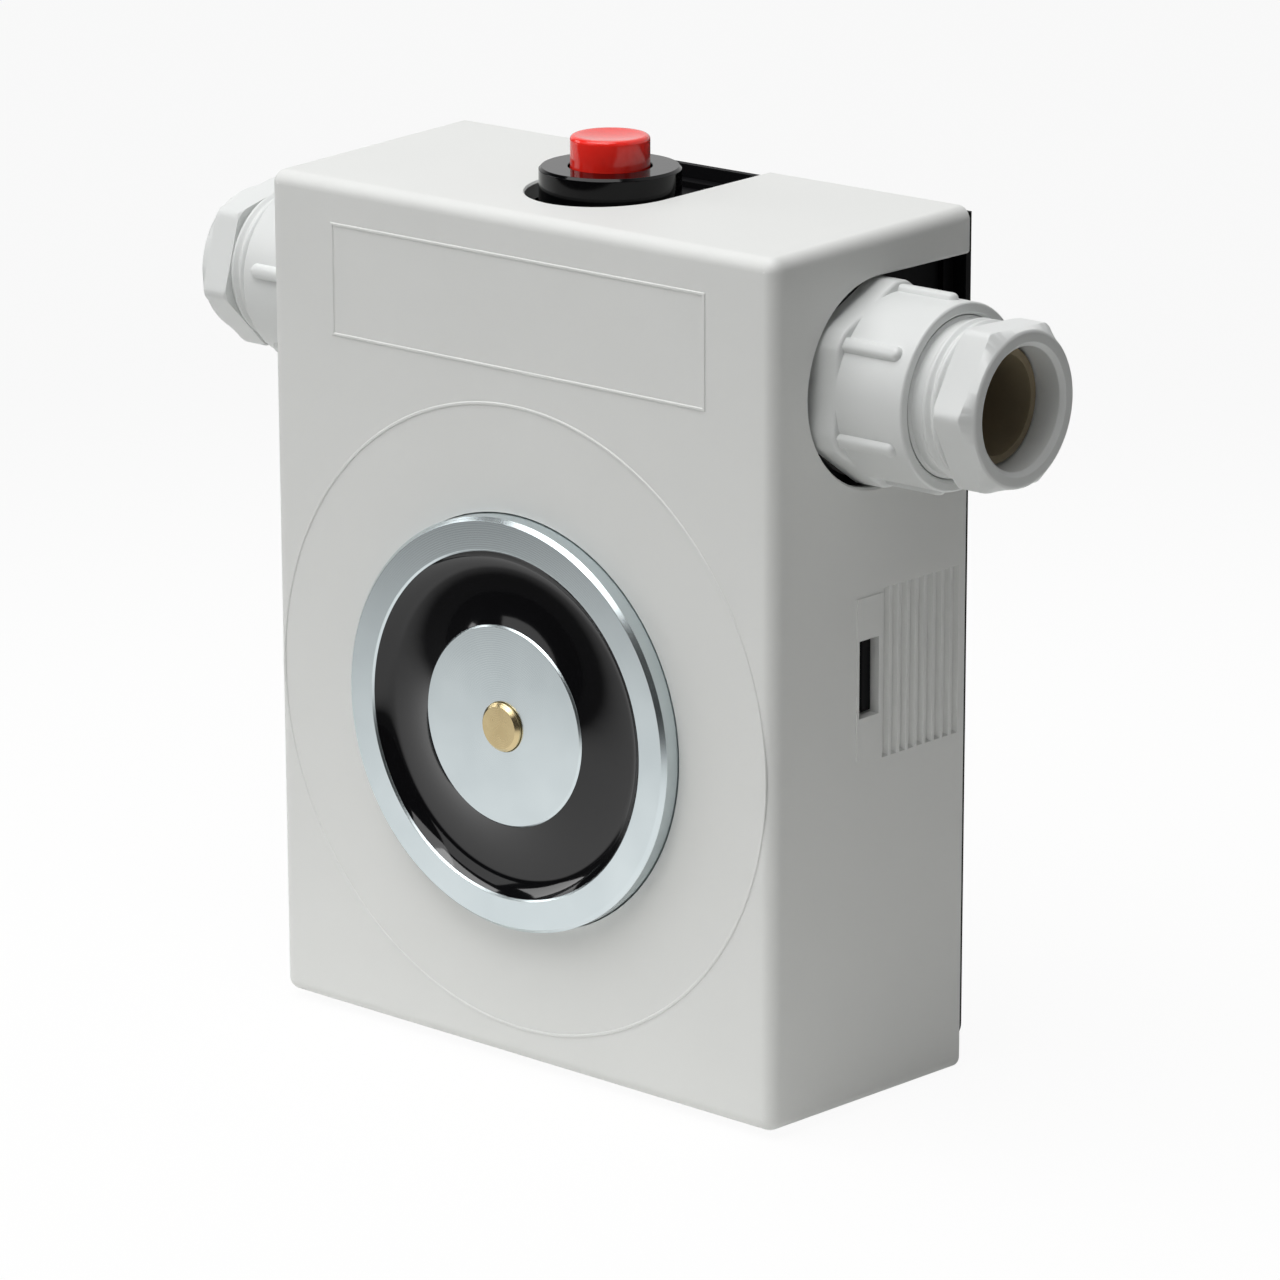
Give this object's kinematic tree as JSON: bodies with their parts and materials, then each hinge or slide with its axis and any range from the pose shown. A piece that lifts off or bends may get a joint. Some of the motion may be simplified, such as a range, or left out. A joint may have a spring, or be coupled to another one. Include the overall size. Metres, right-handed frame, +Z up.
{
  "type": "electromagnetic door holder",
  "caption": "Wall-mounted holding magnet for a fire door: pale clip-on cover, round pot magnet with push-off pin, release button on top and a cable gland on each side.",
  "frame": {"origin": "centre of the wall-screw pattern on the back face", "axes": "+X to the right seen from the front, +Y into the wall, +Z up"},
  "size_m": [0.1322, 0.0415, 0.1213],
  "materials": {
    "housing_grey": "fine satin ABS",
    "gland_grey": "satin polyamide",
    "base_black": "satin ABS",
    "zinc_steel": "turned, blue zinc plated",
    "resin_black": "glossy cast resin",
    "brass": "turned",
    "button_red": "glossy",
    "collar_black": "glossy",
    "seal_rubber": "dull rubber",
    "spring_steel": "drawn wire",
    "copper_wire": "enamelled copper, wound",
    "bobbin_natural": "natural polyamide",
    "lead_red": "flexible insulation",
    "lead_blue": "flexible insulation"
  },
  "bodies": {
    "housing": {"cover": "housing_grey", "base": "base_black", "magnet_pot": "zinc_steel", "potting_ring": "resin_black", "coil_bobbin": "bobbin_natural", "coil_winding": "copper_wire", "pin_spring": "spring_steel", "magnet_screw": "zinc_steel", "button_collar": "collar_black", "switch_body": "base_black", "switch_spring": "spring_steel", "switch_lugs": "brass", "terminal_block": "bobbin_natural", "terminal_clamps": "brass", "terminal_screws": "zinc_steel", "terminal_fixings": "zinc_steel", "coil_lead_left": "lead_blue", "coil_lead_right": "lead_red", "switch_lead_left": "lead_red", "switch_lead_right": "lead_red", "gland_body_left": "gland_grey", "gland_screw_left": "gland_grey", "gland_nut_left": "gland_grey", "gland_ring_left": "gland_grey", "gland_seal_left": "seal_rubber", "gland_gasket_left": "seal_rubber", "gland_body_right": "gland_grey", "gland_screw_right": "gland_grey", "gland_nut_right": "gland_grey", "gland_ring_right": "gland_grey", "gland_seal_right": "seal_rubber", "gland_gasket_right": "seal_rubber"},
    "button": {"button_cap": "button_red"},
    "pin": {"push_off_pin": "brass"}
  },
  "joints": [
    {"name": "button_press", "type": "slide", "parent": "housing", "child": "button", "axis": [0, 0, -1], "range_m": [0, 0.002], "stiffness_N_per_m": 800, "springref_m": -0.002, "deforming": ["switch_spring"]},
    {"name": "pin_push", "type": "slide", "parent": "housing", "child": "pin", "axis": [0, 1, 0], "range_m": [0, 0.0008], "stiffness_N_per_m": 2000, "springref_m": -0.003, "deforming": ["pin_spring"]}
  ]
}
